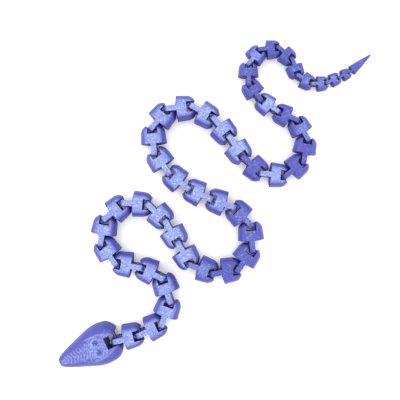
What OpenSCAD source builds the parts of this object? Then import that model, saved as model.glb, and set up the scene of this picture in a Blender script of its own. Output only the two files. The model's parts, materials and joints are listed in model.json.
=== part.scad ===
// A jointed snake that is printed in one piece: a head, a row of hooked links and a tail tip.
// Every piece but the tip carries a crossbar in a notch at its tail end, and the loop on the
// front of the next piece hooks round that bar, so each piece swings from side to side.
// The snake lies on z = 0 with +Z up. The origin is on the flat underside of the head,
// +X points to the right and +Y away from the user as it lies.

/* [Snake] */
// Number of full-size links behind the head, before the body starts to narrow
full_links = 28; // [20:1:34]
// Links in the narrowing part of the body
narrowing_links = 14; // [10:1:14]
// Loss of size from link to link in the narrowing part
body_taper = 0.024; // [0:0.004:0.028]
// Loss of size from piece to piece at the tail
tail_taper = 0.065; // [0.04:0.005:0.08]
// Direction in which the back of the head points, in degrees from +X
head_heading = 25; // [0:5:90]

/* [Links] */
// Distance between the pivots of a full-size link
link_pitch = 15; // [14:0.5:18]
// Height of a full-size link
link_height = 12.6; // [11:0.2:13]
// Radius of the barrel at its front corners
corner_r = 8.1; // [7.4:0.1:8.4]
// Radius of the barrel where its rear end starts to round off
rear_r = 7.6; // [7:0.1:7.8]
// Distance from the front pivot to the corners of the front face
corner_x = 5.2; // [5.2:0.1:6]
// How far the middle of the front face stands ahead of its corners
face_crown = 0.8; // [0.2:0.1:0.9]
// Radius that rounds off the rear end
end_round = 5.6; // [5.4:0.1:6]
// Distance from a crossbar to the rear end of its piece
end_past_bar = 2.1; // [1.8:0.1:2.1]

/* [Joints] */
// Width of the hooked tongue
tongue_w = 3.3; // [2.6:0.1:3.4]
// Length of the tongue's tip ahead of the pivot
tongue_tip = 3.5; // [3.45:0.05:3.55]
// Radius of the crossbar
bar_r = 1; // [0.7:0.05:1]
// Radius of the post that closes the tip of the loop
post_r = 0.8; // [0.6:0.05:0.8]
// Height of the opening in the loop
window_h = 6.2; // [4:0.2:7]
// Width of the notch that holds the crossbar
notch_w = 6.4; // [6.2:0.1:7]
// Distance from the crossbar to the inner wall of the notch
notch_depth = 3.75; // [3.7:0.05:4]
// Chamfer at the corners of the notch's mouth
mouth_chamfer = 1.5; // [1.4:0.1:1.6]

/* [Head] */
// Length of the head
head_length = 41; // [36:1:46]
// Width of the head at the cheeks
head_w = 25.6; // [22:0.2:28]
// Height of the head at the brow
head_height = 15; // [14:0.5:18]
// Width of the notch in the head
head_notch_w = 7.6; // [7.4:0.2:8.4]
// Distance from the head's crossbar to the inner wall of its notch
head_notch_depth = 5.4; // [4:0.2:6]
// How far the first loop sits off the middle of the head's crossbar
loop_slide = 1.4; // [0:0.1:1.4]

/* [Tail] */
// Length of the tail tip behind its front pivot, for a full-size piece
tip_length = 44; // [30:2:50]

/* [Hidden] */
$fn = 48;
link_count = full_links + narrowing_links + 3;
last = link_count + 1;
mid_z = link_height / 2;
bar_overlap = 0.6;
past = 1;

// Turn of each piece against the piece in front of it, from the head to the tail tip,
// in degrees, plus to the left. Each row is one bend of the snake as it lies.
turns = [
    -10, 10, 45, 40, 45, 15,
    -45, -45, -40, -45, -40, -15, 0,
    40, 30, 45, 40, 40, 25,
    -5, -15, -15, -30, -45, -45, -35, -20, -5,
    15, 35, 45, 40, 40, 35,
    -10, -20, -35, -40, -45, -45, -30,
    40, 35, 20, 0, 15
];

// Piece 0 is the head, pieces 1 to link_count are the links and the last is the tail tip.
function size_of(i) =
    1 - body_taper * min(max(i - full_links, 0), narrowing_links)
      - tail_taper * max(i - full_links - narrowing_links, 0);
// The front of a body stands off its pivot by what the piece ahead needs to swing.
function front_x(i) = corner_x * size_of(i - 1);
function bar_x(i) = front_x(i) + (link_pitch - corner_x) * size_of(i);
function heading(i) = i == 0 ? head_heading : heading(i - 1) + turns[i - 1];

// The head's crossbar lies behind the origin, which is midway along its underside.
head_bar_x = head_length / 2 - end_past_bar;
function along(i, x, y) = [x * cos(heading(i)) - y * sin(heading(i)),
                           x * sin(heading(i)) + y * cos(heading(i))];
function pivot(i) =
    i == 1 ? along(0, head_bar_x, -loop_slide) : pivot(i - 1) + along(i - 1, bar_x(i - 1), 0);

function arc(cx, cy, r, from, to, steps = 8) =
    [for (k = [0 : steps]) let (a = from + (to - from) * k / steps) [cx + r * cos(a), cy + r * sin(a)]];

// Half outline of a link's barrel as [radius, distance along], ready to turn about its axis.
module barrel_outline(size) {
    length = (link_pitch - corner_x + end_past_bar) * size;
    corner = 0.5 * size;
    polygon(concat(
        [[0, -face_crown * size], [tongue_w / 2 * size, -face_crown * size]],
        arc(corner_r * size - corner, corner, corner, -80, 0, 4),
        arc((rear_r - end_round) * size, length - end_round * size, end_round * size, 0, 90),
        [[0, length]]
    ));
}

module barrel(size) {
    translate([0, 0, mid_z * size]) rotate([0, 90, 0]) rotate_extrude() barrel_outline(size);
}

// A box that keeps only what stands between the print bed and the flat top.
module slab(size, from, to) {
    width = 2 * (corner_r + past) * size;
    translate([from, -width / 2, 0]) cube([to - from, width, link_height * size]);
}

// Plan of the notch around a crossbar at the origin, open towards the tail.
module notch(width, depth, end, size) {
    flare_x = end - mouth_chamfer * size;
    far = end + past;
    linear_extrude(link_height * 2) polygon([
        [-depth, -width / 2], [flare_x, -width / 2], [far, -width / 2 - (far - flare_x)],
        [far, width / 2 + (far - flare_x)], [flare_x, width / 2], [-depth, width / 2]
    ]);
}

// A crossbar is sized for the loop that hooks round it.
module crossbar(width, z, size) {
    length = width + 2 * bar_overlap * size;
    translate([0, length / 2, z]) rotate([90, 0, 0]) cylinder(h = length, r = bar_r * size);
}

// The tongue from its rounded tip to the body behind it, with a loop open from side to side.
module tongue(size, root) {
    w = tongue_w * size;
    tip = tongue_tip * size;
    round_x = tip - w / 2;
    top = link_height * size;
    window = window_h * size;
    tip_round = 3 * size;
    window_end = 3.2 * size;
    post_x = tip - post_r * size;
    difference() {
        intersection() {
            translate([0, 0, -past]) union() {
                translate([-round_x, 0, 0]) cylinder(h = top + 2 * past, d = w);
                translate([-round_x, -w / 2, 0]) cube([root + round_x, w, top + 2 * past]);
            }
            translate([0, w, 0]) rotate([90, 0, 0]) linear_extrude(2 * w) polygon(concat(
                [[root, 0]],
                arc(tip_round - tip, tip_round, tip_round, 270, 180),
                arc(tip_round - tip, top - tip_round, tip_round, 180, 90),
                [[root, top]]
            ));
        }
        translate([-tip - past, -w, (top - window) / 2]) cube([tip + past + window_end, 2 * w, window]);
    }
    translate([-post_x, 0, tip_round]) cylinder(h = top - 2 * tip_round, r = post_r * size);
}

module at_pivot(i) {
    translate(concat(pivot(i), [0])) rotate([0, 0, heading(i)]) children();
}

module link(i) {
    size = size_of(i);
    end = end_past_bar * size;
    color(i % 2 == 0 ? "mediumslateblue" : "slateblue") at_pivot(i) {
        difference() {
            intersection() {
                translate([front_x(i), 0, 0]) barrel(size);
                slab(size, 0, bar_x(i) + end + past);
            }
            translate([bar_x(i), 0, -past]) notch(notch_w * size, notch_depth * size, end, size);
        }
        translate([bar_x(i), 0, 0]) crossbar(notch_w * size, mid_z * size, size_of(i + 1));
        tongue(size, front_x(i) + past * size);
    }
}

module tail_tip() {
    size = size_of(last);
    front = front_x(last);
    point_r = 0.7;
    length = tip_length * size;
    color("slateblue") at_pivot(last) {
        intersection() {
            translate([front, 0, mid_z * size]) rotate([0, 90, 0]) rotate_extrude() polygon(concat(
                [[0, -face_crown * size], [corner_r * size, 0]],
                arc(0, length - front - point_r, point_r, 20, 90, 4)
            ));
            slab(size, 0, length + past);
        }
        tongue(size, front + past * size);
    }
}

// The head is a smooth wedge: a blunt snout, a domed brow, round cheeks and square shoulders.
module head_shell() {
    snout = head_length - end_past_bar;
    cheek_r = 6.2;
    shoulder_r = 5.4;
    hull() {
        translate([3 - snout, 0, 3.3]) scale([3, 3.9, 3.5]) sphere(1, $fn = 32);
        translate([-13.5, 0, 7]) scale([10, head_w / 2 - 1.6, head_height - 7]) sphere(1, $fn = 32);
        for (side = [-1, 1]) {
            translate([-9, side * (head_w / 2 - cheek_r), cheek_r - 1]) sphere(cheek_r, $fn = 32);
            translate([end_past_bar - shoulder_r, side * 5, mid_z]) sphere(shoulder_r, $fn = 32);
        }
    }
}

module head() {
    bar_z = mid_z;
    eye_x = -10.8;
    color("mediumslateblue") rotate([0, 0, head_heading]) translate([head_bar_x, 0, 0]) {
        difference() {
            intersection() {
                head_shell();
                translate([-head_length, -head_w, 0]) cube([2 * head_length, 2 * head_w, head_height]);
            }
            translate([0, 0, -past]) notch(head_notch_w, head_notch_depth, end_past_bar, 1);
            for (side = [-1, 1]) translate([eye_x, side * 3.1, head_height + 0.6]) sphere(1.8);
        }
        crossbar(head_notch_w, bar_z, 1);
    }
}

head();
for (i = [1 : link_count]) link(i);
tail_tip();
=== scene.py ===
"""A jointed snake printed in silky filament: a sculpted head, forty-five hooked links and a tail tip."""
import json
import math

import bmesh
import bpy
from mathutils import Matrix, Vector


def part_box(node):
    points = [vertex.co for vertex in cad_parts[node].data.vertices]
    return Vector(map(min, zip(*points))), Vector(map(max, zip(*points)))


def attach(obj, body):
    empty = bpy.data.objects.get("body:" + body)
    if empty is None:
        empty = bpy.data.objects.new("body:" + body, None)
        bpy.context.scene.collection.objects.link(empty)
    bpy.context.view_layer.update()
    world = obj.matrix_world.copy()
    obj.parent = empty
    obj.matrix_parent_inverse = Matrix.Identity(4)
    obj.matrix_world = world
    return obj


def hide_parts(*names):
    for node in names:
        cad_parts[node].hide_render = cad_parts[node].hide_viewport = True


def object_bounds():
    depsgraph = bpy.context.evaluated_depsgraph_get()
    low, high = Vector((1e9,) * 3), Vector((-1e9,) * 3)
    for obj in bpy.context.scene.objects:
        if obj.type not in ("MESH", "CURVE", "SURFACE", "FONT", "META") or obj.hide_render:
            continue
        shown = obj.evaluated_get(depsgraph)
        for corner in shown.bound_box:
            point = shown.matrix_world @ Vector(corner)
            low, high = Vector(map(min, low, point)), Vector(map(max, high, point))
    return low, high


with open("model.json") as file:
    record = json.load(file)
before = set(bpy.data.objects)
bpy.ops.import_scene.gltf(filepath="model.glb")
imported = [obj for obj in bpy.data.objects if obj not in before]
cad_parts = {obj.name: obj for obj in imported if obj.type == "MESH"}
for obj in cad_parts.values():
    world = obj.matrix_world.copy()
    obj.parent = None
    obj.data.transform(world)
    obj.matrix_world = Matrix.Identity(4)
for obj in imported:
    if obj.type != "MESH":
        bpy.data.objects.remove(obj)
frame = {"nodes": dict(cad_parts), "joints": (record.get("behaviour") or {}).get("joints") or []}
CAD_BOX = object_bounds()

bl_info = {
    "name": "Jointed Snake",
    "version": (1, 0, 0),
    "blender": (4, 5, 0),
    "location": "3D View > Sidebar > Snake",
    "description": "Builds a print-in-place jointed snake on its CAD frame",
    "category": "Mesh",
}

MM = 0.001
LINK_HEIGHT = 12.6 * MM
FULL_TURN = 2 * math.pi
QUARTER_TURN = math.pi / 2

# How glossy each piece came off the printer, from 0, rough on top, to 1, smooth: the head, the links
# in order, and the tail tip. It sets roughness and coat, and it also paints reflection: from pale at 0
# to deep at 1, the colour stands in for how each piece's silky top reflects the light.
SHEEN = (
    0.42,
    0.2, 0.2, 0.2, 0.25, 0.2, 0.15, 0.15, 0.2, 0.25, 0.15, 0.05, 0.0, 0.05,
    0.55, 1.0, 0.85, 0.75, 0.65, 0.3,
    0.15, 0.15, 0.1, 0.15, 0.25, 0.15, 0.1, 0.15, 0.0,
    0.9, 0.1, 1.0, 0.9, 0.55, 0.9, 0.05, 0.9, 0.75, 0.4,
    0.95, 0.95, 0.75, 0.6, 0.55, 0.55, 0.7, 0.9,
)


# ---------------------------------------------------------------- settings

def length(name, description, default):
    """A size that a user may change, given in millimetres."""
    return bpy.props.FloatProperty(
        name=name, description=description, default=default * MM, min=0.0, unit="LENGTH", precision=5
    )


def colour(name, description, default):
    """A colour that a user may change, as linear red, green and blue."""
    return bpy.props.FloatVectorProperty(
        name=name, description=description, default=default, subtype="COLOR", size=3, min=0.0, max=1.0
    )


class SnakeLinkSettings(bpy.types.PropertyGroup):
    corner_r: length("Corner radius", "Radius of the barrel at its front corners", 8.06)
    rear_r: length("Rear radius", "Radius of the barrel where its rear starts to round off", 7.57)
    corner_x: length("Front offset", "From the front pivot to the corners of the front face", 5.2)
    pitch: length("Pitch", "Distance between a full-size link's two pivots", 15.0)
    crown: length("Face crown", "How far the middle of the front face stands proud", 0.8)
    corner_round: length("Corner round", "Rounding of the front corners", 0.6)
    end_round: length("End round", "Rounding of the rear end", 5.6)
    end_past_bar: length("End overhang", "From a crossbar to the rear end", 2.1)
    edge: length("Edge softness", "Width of the softened printed edges", 0.28)


class SnakeHookSettings(bpy.types.PropertyGroup):
    tongue_w: length("Tongue width", "Width of the hooked tongue", 3.3)
    tongue_tip: length("Tongue tip", "Length of the tongue ahead of its pivot", 3.5)
    tip_round: length("Tip round", "Rounding of the loop's tip seen from the side", 4.2)
    bar_r: length("Bar radius", "Radius of a crossbar", 1.0)
    post_r: length("Post radius", "Radius of the post that closes the loop", 0.8)
    window_h: length("Window height", "Height of the loop's opening", 6.2)
    window_end: length("Window end", "From the pivot to the rear wall of the loop's opening", 3.2)
    notch_w: length("Notch width", "Width of the notch that holds the crossbar", 6.4)
    notch_depth: length("Notch depth", "From the crossbar to the inner wall of the notch", 3.75)
    mouth_chamfer: length("Mouth chamfer", "Chamfer at the corners of the notch's mouth", 1.5)
    edge: length("Edge softness", "Width of the softened edges of the tongue", 0.55)


class SnakeHeadSettings(bpy.types.PropertyGroup):
    length: length("Length", "Length of the head", 40.8)
    bar_behind_origin: length("Bar position", "From the frame's origin to the head's crossbar", 18.4)
    loop_slide: length("Loop slide", "How far the first loop sits off the middle of the bar", 1.4)
    notch_w: length("Notch width", "Width of the notch at the back of the head", 7.6)
    notch_depth: length("Notch depth", "From the crossbar to the notch's inner wall", 5.4)
    eye_x: length("Eye position", "From the crossbar forward to the eyes", 10.8)
    eye_y: length("Eye spread", "From the middle of the head to an eye", 3.1)
    eye_pit: length("Eye pit", "Radius of an eye pit", 1.5)
    ripple: length("Scale ripple", "Height of the ripples across the snout", 0.18)


class SnakeFinishSettings(bpy.types.PropertyGroup):
    # Painted light: pale is the filament as lit on a rough top, and deep is the same filament in shade or
    # reflecting on a glossy piece. The material mixes them to paint shade on the flanks and in the head's
    # pits, and to paint each piece's reflection.
    pale: colour("Pale lilac", "Colour where the top layer was laid roughly", (0.215, 0.265, 0.56))
    deep: colour("Deep violet", "Colour where the filament came out smooth", (0.042, 0.046, 0.30))
    # Painted highlight: this colour paints glints on the rough tops.
    painted_glint: colour("Glint", "Colour of the brightest flecks of the silky filament", (0.42, 0.50, 0.80))
    rim: colour("Rim", "Colour of the steep sides, which catch little light", (0.022, 0.022, 0.15))
    layer: length("Layer height", "Height of one printed layer", 0.2)
    line: length("Line width", "Width of one line of the top layer", 0.45)


class SnakeStageSettings(bpy.types.PropertyGroup):
    floor: colour("Floor", "Colour of the floor", (0.94, 0.94, 0.94))
    glow: bpy.props.FloatProperty(
        name="Floor glow", description="Light that the floor gives off by itself", default=0.12, min=0.0
    )
    ambient: bpy.props.FloatProperty(
        name="Ambient light", description="Strength of the even white light all round", default=1.65
    )
    key_power: bpy.props.FloatProperty(
        name="Key light", description="Power of the soft key light, in watts", default=1.5, min=0.0
    )
    camera_height: length("Camera height", "Height of the camera over the snake's mid plane", 341.8)
    focal_length: bpy.props.FloatProperty(
        name="Focal length", description="Lens of the camera, in millimetres", default=50.0
    )


# ---------------------------------------------------------------- solids in mesh code

def arc(cx, cy, radius, start, end, steps=8):
    """Points of an arc, from start to end in degrees."""
    angles = [math.radians(start + (end - start) * k / steps) for k in range(steps + 1)]
    return [(cx + radius * math.cos(a), cy + radius * math.sin(a)) for a in angles]


def to_mesh(bm, name):
    bmesh.ops.recalc_face_normals(bm, faces=bm.faces)
    mesh = bpy.data.meshes.new(name)
    bm.to_mesh(mesh)
    bm.free()
    return mesh


def prism(outline, low, high):
    """A solid with this outline in XY between two heights."""
    bm = bmesh.new()
    face = bm.faces.new([bm.verts.new((x, y, low)) for x, y in outline])
    grown = bmesh.ops.extrude_face_region(bm, geom=[face])["geom"]
    top = [v for v in grown if isinstance(v, bmesh.types.BMVert)]
    bmesh.ops.translate(bm, vec=(0, 0, high - low), verts=top)
    return to_mesh(bm, "prism")


def side_prism(outline, half_width):
    """A solid with this outline in XZ, as wide on either side of the middle."""
    mesh = prism(outline, -half_width, half_width)
    mesh.transform(Matrix.Rotation(QUARTER_TURN, 4, "X"))
    return mesh


def rod(radius, low, high, along, place, steps=40):
    """A round rod along Y or Z through place, from low to high."""
    bm = bmesh.new()
    bmesh.ops.create_cone(
        bm, cap_ends=True, segments=steps, radius1=radius, radius2=radius, depth=high - low
    )
    turn = Matrix.Rotation(QUARTER_TURN, 4, "X") if along == "Y" else Matrix()
    middle = Matrix.Translation((0, 0, (low + high) / 2))
    bmesh.ops.transform(bm, matrix=turn @ middle, verts=bm.verts)
    bmesh.ops.translate(bm, vec=place, verts=bm.verts)
    return to_mesh(bm, "rod")


def turned(profile, steps=96):
    """A solid turned about X from points (distance along, radius) that start and end on the axis."""
    bm = bmesh.new()
    points = [bm.verts.new((x, 0, r)) for x, r in profile]
    edges = [bm.edges.new(pair) for pair in zip(points, points[1:])]
    bmesh.ops.spin(
        bm, geom=points + edges, cent=(0, 0, 0), axis=(1, 0, 0), angle=FULL_TURN, steps=steps, use_merge=True
    )
    bmesh.ops.remove_doubles(bm, verts=bm.verts, dist=MM / 1000)
    return bm


def flattened(bm, half_height):
    """Cuts a turned solid flat underneath, presses its top down into a soft crown, and stands it on z = 0."""
    tallest = max(v.co.z for v in bm.verts)
    power = 5
    limit = half_height / (1 - (half_height / tallest) ** power) ** (1 / power)
    for vertex in bm.verts:
        z = vertex.co.z
        if z > 0:
            vertex.co.z = z / (1 + (z / limit) ** power) ** (1 / power)
    whole = list(bm.verts) + list(bm.edges) + list(bm.faces)
    bmesh.ops.bisect_plane(
        bm, geom=whole, plane_co=(0, 0, -half_height), plane_no=(0, 0, -1), clear_outer=True
    )
    bmesh.ops.holes_fill(bm, edges=[e for e in bm.edges if e.is_boundary])
    bmesh.ops.translate(bm, vec=(0, 0, half_height), verts=bm.verts)
    return to_mesh(bm, "flattened")


def temporary(mesh):
    obj = bpy.data.objects.new("temporary", mesh)
    bpy.context.scene.collection.objects.link(obj)
    return obj


def combined(base, steps, edge=0.0):
    """The base mesh after each boolean step, with its hard edges softened by edge."""
    body = temporary(base)
    tools = [temporary(mesh) for _, mesh in steps]
    for (operation, _), tool in zip(steps, tools):
        cut = body.modifiers.new(operation, "BOOLEAN")
        cut.operation = operation
        cut.solver = "EXACT"
        cut.object = tool
    if edge:
        soft = body.modifiers.new("soft_edges", "BEVEL")
        soft.width = edge
        soft.segments = 2
        soft.limit_method = "ANGLE"
        soft.angle_limit = math.radians(40)
        soft.use_clamp_overlap = True
    depsgraph = bpy.context.evaluated_depsgraph_get()
    made = bpy.data.meshes.new_from_object(body.evaluated_get(depsgraph))
    for obj in [body, *tools]:
        spent = obj.data
        bpy.data.objects.remove(obj)
        bpy.data.meshes.remove(spent)
    return made


def shaded(mesh, sharp_degrees=28):
    """Smooth shading that keeps the real edges crisp."""
    bm = bmesh.new()
    bm.from_mesh(mesh)
    bmesh.ops.remove_doubles(bm, verts=bm.verts, dist=MM / 2000)
    bmesh.ops.recalc_face_normals(bm, faces=bm.faces)
    limit = math.radians(sharp_degrees)
    for face in bm.faces:
        face.smooth = True
    for edge in bm.edges:
        edge.smooth = edge.is_manifold and edge.calc_face_angle(0) < limit
    bm.to_mesh(mesh)
    bm.free()
    return mesh


# ---------------------------------------------------------------- where the pieces lie

def pivots():
    """The hinge points in order from the head to the tail."""
    return [Vector(joint["pos_m"]).to_2d() for joint in frame["joints"]]


def bearing(vector):
    return math.atan2(vector.y, vector.x)


def piece_size(node):
    """Size of a piece as a share of a full-size link."""
    low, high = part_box(node)
    return (high.z - low.z) / LINK_HEIGHT


def tail_end(pivot):
    """The way from the tail tip's pivot to its own far end."""
    ends = [v.co.to_2d() - pivot for v in frame["nodes"]["tail_tip"].data.vertices]
    return max(ends, key=lambda end: end.length)


def place(mesh, name, node, heading, pivot, index, material, slot, across, relief=None):
    """Stores what the piece's material needs on its points, then lays the piece on the frame."""
    flip = -1 if index % 2 else 1
    mesh.attributes.new("local", "FLOAT_VECTOR", "POINT")
    for attribute in ("sheen", "across", "relief"):
        mesh.attributes.new(attribute, "FLOAT", "POINT")
    local, sheen, side, raised = (
        mesh.attributes[key].data for key in ("local", "sheen", "across", "relief")
    )
    for k, vertex in enumerate(mesh.vertices):
        x, y, z = vertex.co / MM
        local[k].vector = (x, y * flip, z)
        sheen[k].value = SHEEN[index]
        side[k].value = across(vertex)
        raised[k].value = relief(vertex) if relief else 0.0
    mesh.transform(Matrix.Translation((pivot.x, pivot.y, 0)) @ Matrix.Rotation(heading, 4, "Z"))
    mesh.name = name
    mesh.materials.clear()
    mesh.materials.append(material)
    piece = bpy.data.objects.new(name, mesh)
    bpy.context.scene.collection.objects.link(piece)
    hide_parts(node)
    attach(piece, node)
    return piece


# ---------------------------------------------------------------- links

def notch(width, depth, end, chamfer):
    """The cut round a crossbar at x = 0, open towards the tail, with a flared mouth."""
    flare = end - chamfer
    far = end + 2 * MM
    out = width / 2 + far - flare
    half = width / 2
    outline = [(-depth, -half), (flare, -half), (far, -out), (far, out), (flare, half), (-depth, half)]
    return prism(outline, -MM, 2 * LINK_HEIGHT)


def moved(mesh, x, y=0.0, z=0.0):
    mesh.transform(Matrix.Translation((x, y, z)))
    return mesh


def tongue_steps(hook, size, root):
    """Boolean steps that add the hooked tongue, looped round a bar at x = 0."""
    half = hook.tongue_w * size / 2
    tip = hook.tongue_tip * size
    top = LINK_HEIGHT * size
    round_r = hook.tip_round * size
    window = hook.window_h * size
    plan = prism(
        arc(half - tip, 0, half, 90, 270, 16) + [(root, -half), (root, half)], -MM, top + MM
    )
    side = side_prism(
        [(root, 0)]
        + arc(round_r - tip, round_r, round_r, 270, 180)
        + arc(round_r - tip, top - round_r, round_r, 180, 90)
        + [(root, top)],
        2 * half,
    )
    corner = 0.8 * MM * size
    rear = hook.window_end * size
    low, high = (top - window) / 2, (top + window) / 2
    opening = side_prism(
        [(-tip - MM, low)]
        + arc(rear - corner, low + corner, corner, -90, 0, 4)
        + arc(rear - corner, high - corner, corner, 0, 90, 4)
        + [(-tip - MM, high)],
        2 * half,
    )
    tongue = combined(plan, [("INTERSECT", side), ("DIFFERENCE", opening)], hook.edge * size)
    post_x = tip - hook.post_r * size
    post = rod(hook.post_r * size, low - MM * size, high + MM * size, "Z", (-post_x, 0, 0), 24)
    return [("UNION", combined(tongue, [("UNION", post)]))]


def link_mesh(link, hook, size, ahead, behind):
    """One link with its front pivot at the origin. ahead and behind are its neighbours' sizes."""
    front = link.corner_x * ahead
    body_length = (link.pitch - link.corner_x + link.end_past_bar) * size
    bar_x = front + (link.pitch - link.corner_x) * size
    mid_z = LINK_HEIGHT * size / 2
    corner = link.corner_round * size
    end_round = link.end_round * size
    profile = [(-link.crown * size, 0), (-link.crown * size, hook.tongue_w * size * 0.62)]
    profile += [(y, x) for x, y in arc(link.corner_r * size - corner, corner, corner, -72, 2, 6)]
    rear = link.rear_r * size
    profile += [(x, y) for y, x in arc(rear - end_round, body_length - end_round, end_round, 2, 90, 14)]
    profile += [(body_length, 0)]
    body = flattened(turned([(front + x, r) for x, r in profile]), mid_z)
    width = hook.notch_w * size
    reach = width / 2 + 0.6 * MM * size
    end = link.end_past_bar * size
    cut = notch(width, hook.notch_depth * size, end, hook.mouth_chamfer * size)
    steps = [
        ("DIFFERENCE", moved(cut, bar_x)),
        ("UNION", rod(hook.bar_r * behind, -reach, reach, "Y", (bar_x, 0, mid_z))),
        *tongue_steps(hook, size, front + MM * size),
    ]
    return shaded(combined(body, steps, link.edge * size))


def across_barrel(radius):
    """Tells how far a point lies from the middle of a barrel, as a share of its radius."""
    return lambda vertex: abs(vertex.co.y) / radius


class SNAKE_OT_links(bpy.types.Operator):
    """Model every link and hook it onto the one in front"""

    bl_idname = "snake.links"
    bl_label = "Links"

    def execute(self, context):
        scene = context.scene
        places = pivots()
        names = [f"link_{i}" for i in range(1, len(places))]
        sizes = [1.0] + [piece_size(node) for node in names] + [piece_size("tail_tip")]
        material = filament("link_filament", scene.snake_finish)
        made = {}
        for i, node in enumerate(names, start=1):
            key = tuple(round(size, 4) for size in sizes[i - 1:i + 2])
            if key not in made:
                made[key] = link_mesh(scene.snake_link, scene.snake_hook, sizes[i], *key[::2])
            heading = bearing(places[i] - places[i - 1])
            slot = "glossy_filament" if SHEEN[i] > 0.5 else "textured_filament"
            across = across_barrel(scene.snake_link.corner_r * sizes[i])
            name = f"printed_{node}"
            place(made[key].copy(), name, node, heading, places[i - 1], i, material, slot, across)
        for mesh in made.values():
            bpy.data.meshes.remove(mesh)
        return {"FINISHED"}


# ---------------------------------------------------------------- tail tip

class SNAKE_OT_tail(bpy.types.Operator):
    """Model the pointed last piece"""

    bl_idname = "snake.tail"
    bl_label = "Tail tip"

    def execute(self, context):
        scene = context.scene
        link, hook = scene.snake_link, scene.snake_hook
        pivot = pivots()[-1]
        last = len(pivots())
        size = piece_size("tail_tip")
        front = link.corner_x * piece_size(f"link_{last - 1}")
        mid_z = LINK_HEIGHT * size / 2
        far_end = tail_end(pivot)
        heading = bearing(far_end)
        reach = far_end.length - link.edge / 10
        point_r = 0.7 * MM
        corner = link.corner_round * size
        profile = [(front - link.crown * size, 0), (front - link.crown * size, hook.tongue_w * size * 0.62)]
        profile += [
            (front + y, x) for x, y in arc(link.corner_r * size - corner, corner, corner, -72, 12, 6)
        ]
        profile += [(x, y) for y, x in arc(0, reach - point_r, point_r, 16, 90, 6)]
        body = flattened(turned(profile), mid_z)
        mesh = combined(body, tongue_steps(hook, size, front + MM * size), link.edge * size)
        material = filament("tail_filament", scene.snake_finish)
        across = across_barrel(link.corner_r * size)
        name = "printed_tail_tip"
        place(shaded(mesh), name, "tail_tip", heading, pivot, last, material, "glossy_filament", across)
        return {"FINISHED"}


# ---------------------------------------------------------------- head

# Stations along the head, in millimetres: distance from the snout, half width, height of the
# widest line, and how far the crown rises above it.
HEAD_STATIONS = (
    (0.0, 0.0, 3.2, 0.0),
    (0.5, 2.4, 3.3, 2.2),
    (2.0, 3.6, 3.5, 3.4),
    (9.0, 6.7, 4.2, 5.2),
    (15.0, 8.8, 4.8, 6.5),
    (20.0, 10.6, 5.3, 7.7),
    (25.0, 12.1, 5.7, 8.5),
    (30.0, 12.7, 6.0, 8.5),
    (34.0, 12.4, 6.1, 8.2),
    (36.5, 11.8, 6.2, 7.7),
    (38.3, 10.5, 6.2, 7.1),
    (39.8, 8.6, 6.3, 6.3),
    (40.7, 6.6, 6.3, 5.3),
    (41.0, 0.0, 6.3, 0.0),
)


# How squarish the head is across: 2 would be round.
CROWN_POWER = 2.35
CHEEK_POWER = 3.2


def at_station(x, column):
    """A smooth curve through one column of the head's stations."""
    rows = HEAD_STATIONS
    spans = len(rows) - 1
    k = next((i for i in range(spans) if x < rows[i + 1][0]), spans - 1)
    x0, x1 = rows[k][0], rows[k + 1][0]
    y0, y1 = rows[k][column], rows[k + 1][column]
    step = (y1 - y0) / (x1 - x0)

    def slope(i):
        if i in (0, spans):
            return step
        left = (rows[i][column] - rows[i - 1][column]) / (rows[i][0] - rows[i - 1][0])
        right = (rows[i + 1][column] - rows[i][column]) / (rows[i + 1][0] - rows[i][0])
        return 0.0 if left * right <= 0 else 2 * left * right / (left + right)

    t = max(0.0, min(1.0, (x - x0) / (x1 - x0)))
    bend0, bend1 = slope(k) * (x1 - x0), slope(k + 1) * (x1 - x0)
    return (
        y0 * (1 + 2 * t) * (1 - t) ** 2
        + bend0 * t * (1 - t) ** 2
        + y1 * t * t * (3 - 2 * t)
        + bend1 * t * t * (t - 1)
    )


def hump(distance, width):
    """1 at no distance, falling smoothly to nothing."""
    return math.exp(-((distance / width) ** 2))


def head_relief(head, x, y):
    """Height added to the crown at a place measured from the crossbar, in metres."""
    eye = math.hypot(x + head.eye_x, abs(y) - head.eye_y)
    outer = (abs(y) - head.eye_y - x - head.eye_x) / (3.8 * MM)
    rim = 0.40 * MM * hump(eye - 2.7 * MM, 0.65 * MM) * max(0.0, 0.3 + 0.7 * outer)
    pit = -0.9 * MM * hump(eye, head.eye_pit * 0.85)
    brow_y = 7.6 * MM - 0.42 * max(0.0, x + 8 * MM) - 0.25 * max(0.0, -(x + 18 * MM))
    brow = 0.35 * MM * hump(abs(y) - brow_y, 0.8 * MM) * hump(x + 12 * MM, 8 * MM)
    on_snout = hump(x + 26 * MM, 8 * MM) * hump(y, 7 * MM)
    ripple = head.ripple * math.sin(FULL_TURN * (x + 0.45 * abs(y)) / (2.3 * MM)) * on_snout
    return rim + pit + brow + ripple


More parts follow.
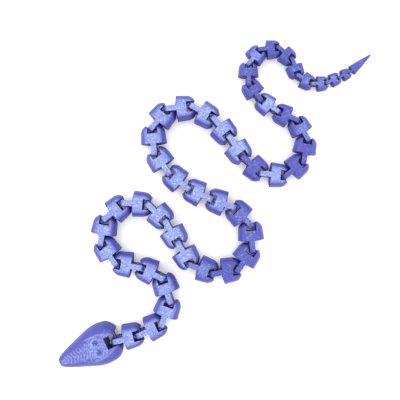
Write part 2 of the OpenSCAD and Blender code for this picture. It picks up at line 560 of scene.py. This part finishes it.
def head_shell(head, end_past_bar):
    """The head's outer skin with its crossbar at the origin, snout towards -X."""
    bm = bmesh.new()
    bmesh.ops.create_uvsphere(bm, u_segments=168, v_segments=132, radius=1.0)
    bmesh.ops.rotate(bm, cent=(0, 0, 0), matrix=Matrix.Rotation(QUARTER_TURN, 3, "Y"), verts=bm.verts)
    total = HEAD_STATIONS[-1][0]
    stretch = head.length / (total * MM)
    snout_x = end_past_bar - head.length
    for vertex in bm.verts:
        ux, uy, uz = vertex.co
        station = total * (1 + max(-1.0, min(1.0, ux))) / 2
        ring = math.hypot(uy, uz)
        across, up = (uy / ring, uz / ring) if ring > 1e-6 else (0.0, 0.0)
        power = CROWN_POWER if up > 0 else CHEEK_POWER
        spread = abs(across) ** power + abs(up) ** power
        share = spread ** (-1 / power) if spread else 0.0
        half, axis, rise = (at_station(station, column) * MM for column in (1, 2, 3))
        drop = axis + 0.9 * MM
        x = snout_x + station * MM * stretch
        y = half * across * share
        z = axis + (rise if up > 0 else drop * min(1.0, rise / (2 * MM))) * up * share
        if up > 0:
            z += head_relief(head, x, y) * min(1.0, up * 2)
        vertex.co = (x, y, z)
    whole = list(bm.verts) + list(bm.edges) + list(bm.faces)
    bmesh.ops.bisect_plane(bm, geom=whole, plane_co=(0, 0, 0), plane_no=(0, 0, -1), clear_outer=True)
    bmesh.ops.holes_fill(bm, edges=[e for e in bm.edges if e.is_boundary])
    return to_mesh(bm, "head_shell")


class SNAKE_OT_head(bpy.types.Operator):
    """Sculpt the head and cut the notch that holds its crossbar"""

    bl_idname = "snake.head"
    bl_label = "Head"

    def execute(self, context):
        scene = context.scene
        link, hook, head = scene.snake_link, scene.snake_hook, scene.snake_head
        first = pivots()[0]
        heading = bearing(first) - bearing(Vector((head.bar_behind_origin, -head.loop_slide)))
        bar = Vector((math.cos(heading), math.sin(heading))) * head.bar_behind_origin
        cut = notch(head.notch_w, head.notch_depth, link.end_past_bar, hook.mouth_chamfer)
        reach = head.notch_w / 2 + 0.8 * MM
        steps = [
            ("DIFFERENCE", cut),
            ("UNION", rod(hook.bar_r, -reach, reach, "Y", (0, 0, LINK_HEIGHT / 2))),
        ]
        mesh = shaded(combined(head_shell(head, link.end_past_bar), steps, link.edge))
        material = filament("head_filament", scene.snake_finish)

        # The material reads this height as painted light: pits are drawn darker as painted shade, and ridges
        # lighter as painted highlight.
        def relief(vertex):
            """Height of the sculpting in millimetres, on the upper side only."""
            up = max(0.0, vertex.normal.z - 0.3)
            return up * head_relief(head, vertex.co.x, vertex.co.y) / MM

        def across(vertex):
            """Distance from the middle as a share of the head's half width there."""
            station = (vertex.co.x + head.length - link.end_past_bar) / MM
            return abs(vertex.co.y) / MM / max(3.0, at_station(min(station, 36.0), 1))

        slot = "textured_filament"
        place(mesh, "printed_head", "head", heading, bar, 0, material, slot, across, relief)
        return {"FINISHED"}


# ---------------------------------------------------------------- materials

class Wire:
    """A shader socket that does arithmetic: an expression on wires adds its Math nodes."""

    def __init__(self, tree, socket=None):
        self.tree = tree
        self.socket = socket

    def node(self, kind, settings=None, inputs=None, output=0):
        """Adds a node of this type, with its settings and its sockets' values or links."""
        made = self.tree.nodes.new(kind)
        for name, value in (settings or {}).items():
            setattr(made, name, value)
        for key, value in (inputs or {}).items():
            if isinstance(value, Wire):
                self.tree.links.new(value.socket, made.inputs[key])
            else:
                made.inputs[key].default_value = value
        return Wire(self.tree, made.outputs[output])

    def math(self, operation, *values):
        return self.node("ShaderNodeMath", {"operation": operation}, dict(enumerate(values)))

    def __add__(self, other):
        return self.math("ADD", self, other)

    __radd__ = __add__

    def __sub__(self, other):
        return self.math("SUBTRACT", self, other)

    def __rsub__(self, other):
        return self.math("SUBTRACT", other, self)

    def __mul__(self, other):
        return self.math("MULTIPLY", self, other)

    __rmul__ = __mul__

    def __truediv__(self, other):
        return self.math("DIVIDE", self, other)

    def ramp(self, low, high):
        """0 below low, 1 above high, smooth between."""
        return self.node(
            "ShaderNodeMapRange", {"interpolation_type": "SMOOTHSTEP"}, {0: self, 1: low, 2: high}
        )

    def ridges(self):
        """Round ridges, one for each whole number."""
        across = self.math("FRACT", self) * 2 - 1
        return 1 - across * across

    def to_surface(self):
        end = self.tree.nodes.new("ShaderNodeOutputMaterial")
        self.tree.links.new(self.socket, end.inputs["Surface"])

    def blend(self, factor, first, second):
        settings = {"data_type": "RGBA"}
        return self.node("ShaderNodeMix", settings, {0: factor, 6: first, 7: second}, output=2)


def filament(name, finish):
    """Silky printed plastic: layer lines on the sides, laid lines and grain on the flat tops, with painted
    light:
    painted shade on the flanks, steep sides and head's pits, painted glints and shade specks on the rough
    tops, and a painted reflection that deepens glossy pieces.
    """
    material = bpy.data.materials.new(name)
    material.use_nodes = True
    tree = material.node_tree
    tree.nodes.clear()
    start = Wire(tree)
    local = start.node("ShaderNodeAttribute", {"attribute_name": "local"}, output="Vector")
    sheen = start.node("ShaderNodeAttribute", {"attribute_name": "sheen"}, output="Fac")
    relief = start.node("ShaderNodeAttribute", {"attribute_name": "relief"}, output="Fac")
    across = start.node("ShaderNodeAttribute", {"attribute_name": "across"}, output="Fac")
    normal = start.node("ShaderNodeNewGeometry", output="Normal")
    facing_up = start.node("ShaderNodeSeparateXYZ", inputs={0: normal}, output="Z")
    x = start.node("ShaderNodeSeparateXYZ", inputs={0: local}, output="X")
    y = start.node("ShaderNodeSeparateXYZ", inputs={0: local}, output="Y")
    z = start.node("ShaderNodeSeparateXYZ", inputs={0: local}, output="Z")
    object_place = start.node("ShaderNodeTexCoord", output="Object")

    # top is the upward-facing part, fading towards the sides; everything off it gets painted shade below.
    top = facing_up.ramp(0.72, 1.0) * (1 - across.ramp(0.25, 0.8) * 0.5)
    steep = 1 - facing_up.ramp(0.0, 0.55)
    rough_top = top * (1 - sheen * 0.75)
    # This noise sets real grain in the bump and roughness, and it also places painted glints and painted
    # shade specks.
    grain_and_painted_light_noise = start.node("ShaderNodeTexNoise", inputs={"Vector": object_place, "Scale": 1100.0, "Detail": 2.0})
    cloud = start.node("ShaderNodeTexNoise", inputs={"Vector": object_place, "Scale": 260.0, "Detail": 3.0})

    # Painted light in depth: glossy pieces are drawn deeper as painted reflection, the flanks and the head's
    # pits darker as painted shade, and the head's ridges lighter as painted highlight. The cloud noise is a
    # real random tone.
    depth = 0.12 + sheen * 0.95 + (1 - top) * 0.65 + (cloud - 0.5) * 0.3 - relief * 1.6
    pale, deep, painted_glint, rim = (
        (*value, 1.0) for value in (finish.pale, finish.deep, finish.painted_glint, finish.rim)
    )
    colour_with_painted_light = start.blend(depth.ramp(0.0, 1.0), pale, deep)
    # Painted highlight: glints on the rough tops, mixed towards the glint colour.
    sparkles = grain_and_painted_light_noise.ramp(0.5, 0.7) * rough_top * 0.7
    colour_top = start.blend(sparkles, colour_with_painted_light, painted_glint)
    # Painted shade: dark specks on the rough tops, mixed towards the deep colour.
    shade = (0.5 - grain_and_painted_light_noise).ramp(0.02, 0.16) * rough_top * 0.5
    colour_lit = start.blend(shade, colour_top, deep)
    # Painted shade: the steep sides are drawn towards the rim colour.
    colour_all = start.blend(steep * 0.85, colour_lit, rim)

    rough = 0.36 + rough_top * 0.16 + (grain_and_painted_light_noise - 0.5) * 0.2 * top + steep * 0.3
    layers = (z / (finish.layer / MM)).ridges() * 0.016
    lines = ((x + y) / (math.sqrt(2) * finish.line / MM)).ridges() * rough_top * 0.03
    grain = grain_and_painted_light_noise * rough_top * 0.10
    bump = start.node(
        "ShaderNodeBump", inputs={"Strength": 1.0, "Distance": MM, "Height": layers + lines + grain}
    )
    inputs = {
        "Base Color": colour_all,
        "Roughness": rough,
        "Coat Weight": 0.05 + sheen * 0.2,
        "Coat Roughness": 0.25,
        "Specular IOR Level": 0.35,
        "Normal": bump,
    }
    start.node("ShaderNodeBsdfPrincipled", inputs=inputs).to_surface()
    return material


def plain(name, colour_value, roughness, glow):
    """A plain surface for the stage that glows a little by itself, like a light table."""
    material = bpy.data.materials.new(name)
    material.use_nodes = True
    shader = material.node_tree.nodes["Principled BSDF"]
    shader.inputs["Base Color"].default_value = (*colour_value, 1.0)
    shader.inputs["Roughness"].default_value = roughness
    shader.inputs["Emission Color"].default_value = (1.0, 1.0, 1.0, 1.0)
    shader.inputs["Emission Strength"].default_value = glow
    return material


# ---------------------------------------------------------------- stage

# The key light's place from the snake's middle and its width, in metres, and how far the camera
# stands off that middle, in millimetres.
KEY_OFFSET = Vector((-0.5, 0.25, 0.7))
KEY_SIZE = 0.9
VIEW_SHIFT = (-9.3, 2.4)


def area_light(name, place_at, aim, size, energy):
    light = bpy.data.lights.new(name, "AREA")
    light.shape = "DISK"
    light.size = size
    light.energy = energy
    obj = bpy.data.objects.new(name, light)
    obj.location = place_at
    obj.rotation_euler = (aim - place_at).to_track_quat("-Z", "Y").to_euler()
    bpy.context.scene.collection.objects.link(obj)


class SNAKE_OT_stage(bpy.types.Operator):
    """Set the pale floor, the soft lights and the camera over the snake"""

    bl_idname = "snake.stage"
    bl_label = "Stage"

    def execute(self, context):
        scene = context.scene
        stage = scene.snake_stage
        low, high = CAD_BOX
        middle = (low + high) / 2

        bm = bmesh.new()
        bmesh.ops.create_grid(bm, x_segments=1, y_segments=1, size=3.0)
        floor = bpy.data.objects.new("floor", to_mesh(bm, "floor"))
        floor.data.materials.append(plain("floor_paper", stage.floor, 0.9, stage.glow))
        scene.collection.objects.link(floor)

        world = bpy.data.worlds.new("studio")
        world.use_nodes = True
        world.node_tree.nodes["Background"].inputs["Color"].default_value = (1, 1, 1, 1)
        world.node_tree.nodes["Background"].inputs["Strength"].default_value = stage.ambient
        scene.world = world
        area_light("key", middle + KEY_OFFSET, middle, KEY_SIZE, stage.key_power)

        camera = bpy.data.cameras.new("camera")
        camera.lens = stage.focal_length
        camera.sensor_width = 36.0
        camera.clip_start = 0.01
        viewer = bpy.data.objects.new("camera", camera)
        viewer.location = (
            middle.x + VIEW_SHIFT[0] * MM,
            middle.y + VIEW_SHIFT[1] * MM,
            LINK_HEIGHT / 2 + stage.camera_height,
        )
        scene.collection.objects.link(viewer)
        scene.camera = viewer
        scene.view_settings.view_transform = "Standard"
        return {"FINISHED"}


# ---------------------------------------------------------------- panel and main

class SNAKE_PT_panel(bpy.types.Panel):
    """Buttons that build the snake, with its sizes and colours"""

    bl_label = "Jointed Snake"
    bl_space_type = "VIEW_3D"
    bl_region_type = "UI"
    bl_category = "Snake"

    def draw(self, context):
        layout = self.layout
        for operator in OPERATORS:
            layout.operator(operator.bl_idname)
        for name in GROUPS:
            settings = getattr(context.scene, name)
            box = layout.box()
            for prop in settings.bl_rna.properties:
                if not prop.is_readonly and prop.identifier != "name":
                    box.prop(settings, prop.identifier)


GROUPS = {
    "snake_link": SnakeLinkSettings,
    "snake_hook": SnakeHookSettings,
    "snake_head": SnakeHeadSettings,
    "snake_finish": SnakeFinishSettings,
    "snake_stage": SnakeStageSettings,
}
OPERATORS = (SNAKE_OT_stage, SNAKE_OT_head, SNAKE_OT_links, SNAKE_OT_tail)


def register():
    for cls in (*GROUPS.values(), *OPERATORS, SNAKE_PT_panel):
        bpy.utils.register_class(cls)
    for name, cls in GROUPS.items():
        setattr(bpy.types.Scene, name, bpy.props.PointerProperty(type=cls))


def unregister():
    for name in GROUPS:
        delattr(bpy.types.Scene, name)
    for cls in reversed((*GROUPS.values(), *OPERATORS, SNAKE_PT_panel)):
        bpy.utils.unregister_class(cls)


def main():
    register()
    bpy.ops.snake.stage()
    bpy.ops.snake.head()
    bpy.ops.snake.links()
    bpy.ops.snake.tail()


if __name__ == "__main__":
    main()
